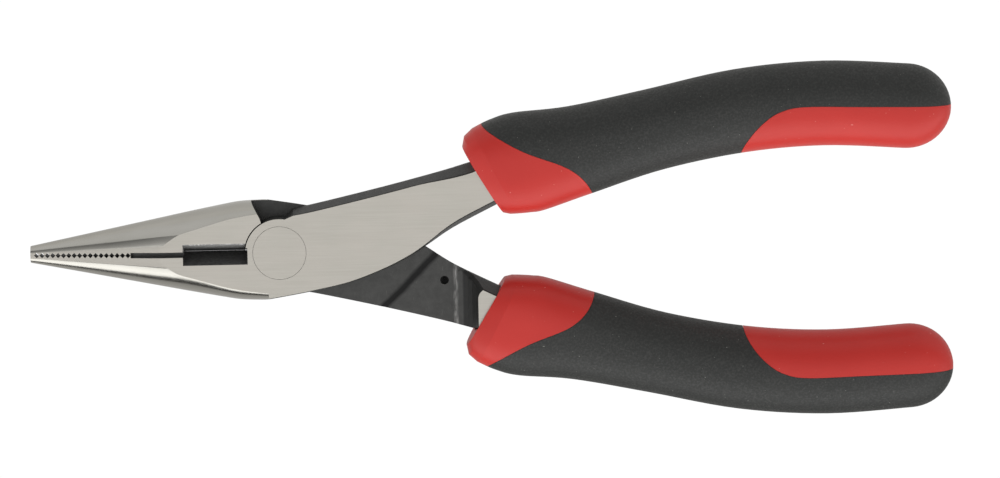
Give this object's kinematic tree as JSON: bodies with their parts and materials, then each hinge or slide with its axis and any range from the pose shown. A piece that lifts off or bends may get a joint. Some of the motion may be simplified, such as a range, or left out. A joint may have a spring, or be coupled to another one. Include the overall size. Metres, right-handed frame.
{
  "type": "needle nose pliers",
  "caption": "Long tapered serrated jaws with a side cutter, a flat riveted lap joint, and curved handles with two-material slip-on grips.",
  "frame": {"origin": "where the pivot's axis meets the joint's back face", "axes": "+Z along the pivot's axis towards the front face, +X from the jaws towards the handles, +Y towards the front half's handle"},
  "size_m": [0.1651, 0.0638, 0.0131],
  "materials": {
    "forged_steel": "forged and ground, brushed along the faces, dark on the forged sides",
    "rivet_steel": "ground flush with the joint's faces",
    "red_core": "smooth satin moulded hard plastic",
    "black_overmould": "fine pebbled soft overmould"
  },
  "bodies": {
    "front_body": {"front_half": "forged_steel", "pivot_rivet": "rivet_steel", "front_handle_core": "red_core", "front_handle_overmould": "black_overmould"},
    "back_body": {"back_half": "forged_steel", "back_handle_core": "red_core", "back_handle_overmould": "black_overmould"}
  },
  "joints": [
    {"name": "jaw_pivot", "type": "hinge", "parent": "front_body", "child": "back_body", "pos_m": [0, 0, 0], "axis": [0, 0, -1], "range_deg": [0, 38]}
  ]
}
